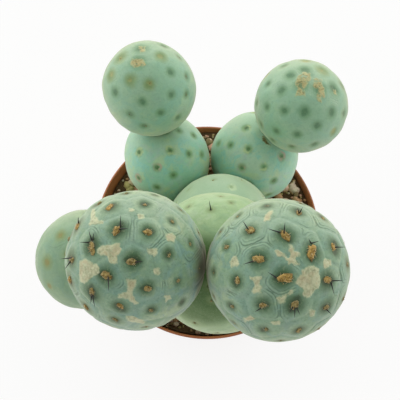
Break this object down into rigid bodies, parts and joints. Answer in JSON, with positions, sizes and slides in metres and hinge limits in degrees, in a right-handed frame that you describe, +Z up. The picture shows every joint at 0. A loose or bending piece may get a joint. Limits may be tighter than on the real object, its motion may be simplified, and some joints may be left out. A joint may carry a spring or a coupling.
{
  "type": "potted tephrocactus geometricus",
  "caption": "Clustering cactus of globe-shaped blue-green stem segments with tubercles and short spines, in gritty soil in a small round plastic pot.",
  "frame": {"origin": "centre of the pot's flat bottom, on the surface that it stands on", "axes": "+Z up along the pot's axis, -Y towards the side that the picture was taken from, +X to the right in it"},
  "size_m": [0.1049, 0.1127, 0.1823],
  "materials": {
    "pot_plastic": "matte",
    "gritty_soil": "matte",
    "stem_pale": "satin",
    "stem_olive": "satin",
    "stem_weathered": "satin",
    "stem_blue": "satin"
  },
  "bodies": {
    "root": {"pot": "pot_plastic", "soil": "gritty_soil", "stem_base": "stem_pale", "stem_middle": "stem_olive", "stem_top_left": "stem_weathered", "stem_top_right": "stem_weathered", "stem_rear_left_lower": "stem_pale", "stem_rear_left_upper": "stem_blue", "stem_rear_right_lower": "stem_pale", "stem_rear_right_upper": "stem_blue", "stem_side_lower": "stem_pale", "stem_side_upper": "stem_weathered"}
  },
  "joints": []
}
